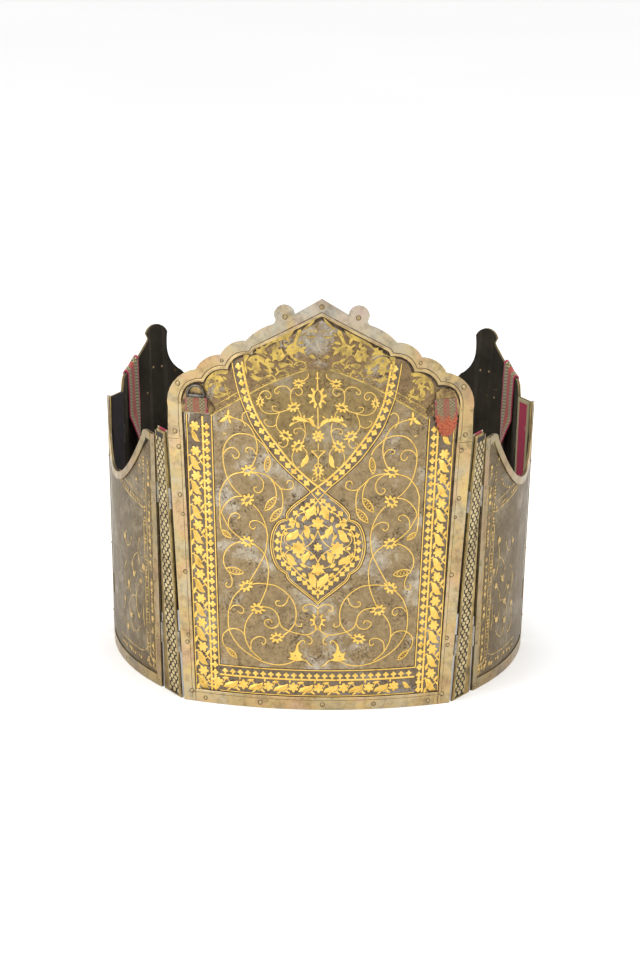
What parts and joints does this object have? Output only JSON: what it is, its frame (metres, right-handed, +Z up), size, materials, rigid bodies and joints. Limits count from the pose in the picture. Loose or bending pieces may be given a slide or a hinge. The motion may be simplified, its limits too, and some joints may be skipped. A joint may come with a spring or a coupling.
{
  "type": "steel cuirass",
  "caption": "Hinged steel cuirass: a tall plate with a cusped crest, scaled gussets, side plates cut out for the arms, and half plates with shoulder horns.",
  "frame": {"origin": "middle of the footprint, on the surface the hem stands on", "axes": "+Z up, -Y out of the tall cusped plate, +Y where the two half plates meet, +X to the right as seen from in front of the tall plate"},
  "size_m": [0.4222, 0.3241, 0.3915],
  "materials": {
    "steel": "mottled old steel with thin gold damascene scrolls",
    "rim": "smooth worn steel with traces of gilding",
    "brass": "cast scales, polished on their crowns and dark between",
    "gilt": "gilded, rubbed",
    "dark": "blackened",
    "velvet": "crimson pile, worn",
    "webbing": "woven braid with crimson, green and cream threads"
  },
  "bodies": {
    "front": {"front_plate": "steel", "front_rim_top": "rim", "front_rim_left": "rim", "front_rim_right": "rim", "front_rim_bottom": "rim", "shoulder_plate_left": "gilt", "shoulder_plate_right": "gilt", "shoulder_ring_left": "dark", "strap_stub_left": "webbing", "strap_stub_right": "webbing"},
    "gusset_front_left": {"front_gusset_left": "brass", "front_gusset_lining_left": "velvet"},
    "side_left": {"side_plate_left": "steel", "side_armhole_rim_left": "rim", "side_band_front_left": "rim", "side_band_rear_left": "rim", "side_band_bottom_left": "rim"},
    "gusset_rear_left": {"rear_gusset_left": "brass", "rear_gusset_lining_left": "velvet"},
    "half_left": {"rear_half_left": "steel", "rear_half_rim_top_left": "rim", "rear_half_rim_left": "rim", "strap_left": "webbing"},
    "gusset_front_right": {"front_gusset_right": "brass", "front_gusset_lining_right": "velvet"},
    "side_right": {"side_plate_right": "steel", "side_armhole_rim_right": "rim", "side_band_front_right": "rim", "side_band_rear_right": "rim", "side_band_bottom_right": "rim"},
    "gusset_rear_right": {"rear_gusset_right": "brass", "rear_gusset_lining_right": "velvet"},
    "half_right": {"rear_half_right": "steel", "rear_half_rim_top_right": "rim", "rear_half_rim_right": "rim", "strap_right": "webbing"}
  },
  "joints": [
    {"name": "front_hinge_left", "type": "hinge", "parent": "front", "child": "gusset_front_left", "pos_m": [-0.13418, -0.131, 0.126], "axis": [-0.0612, 0.0238, 0.9978], "range_deg": [0, 60]},
    {"name": "side_front_hinge_left", "type": "hinge", "parent": "gusset_front_left", "child": "side_left", "pos_m": [-0.14927, -0.1048, 0.126], "axis": [-0.0262, -0.0178, 0.9995], "range_deg": [0, 60]},
    {"name": "side_rear_hinge_left", "type": "hinge", "parent": "side_left", "child": "gusset_rear_left", "pos_m": [-0.2063, 0.05248, 0.126], "axis": [-0.0238, 0, 0.9997], "range_deg": [0, 60]},
    {"name": "half_hinge_left", "type": "hinge", "parent": "gusset_rear_left", "child": "half_left", "pos_m": [-0.19597, 0.081, 0.126], "axis": [-0.0161, -0.0238, 0.9996], "range_deg": [0, 60]},
    {"name": "front_hinge_right", "type": "hinge", "parent": "front", "child": "gusset_front_right", "pos_m": [0.13418, -0.131, 0.126], "axis": [-0.0612, -0.0238, -0.9978], "range_deg": [0, 60]},
    {"name": "side_front_hinge_right", "type": "hinge", "parent": "gusset_front_right", "child": "side_right", "pos_m": [0.14927, -0.1048, 0.126], "axis": [-0.0262, 0.0178, -0.9995], "range_deg": [0, 60]},
    {"name": "side_rear_hinge_right", "type": "hinge", "parent": "side_right", "child": "gusset_rear_right", "pos_m": [0.2063, 0.05248, 0.126], "axis": [-0.0238, 0, -0.9997], "range_deg": [0, 60]},
    {"name": "half_hinge_right", "type": "hinge", "parent": "gusset_rear_right", "child": "half_right", "pos_m": [0.19597, 0.081, 0.126], "axis": [-0.0161, 0.0238, -0.9996], "range_deg": [0, 60]}
  ]
}
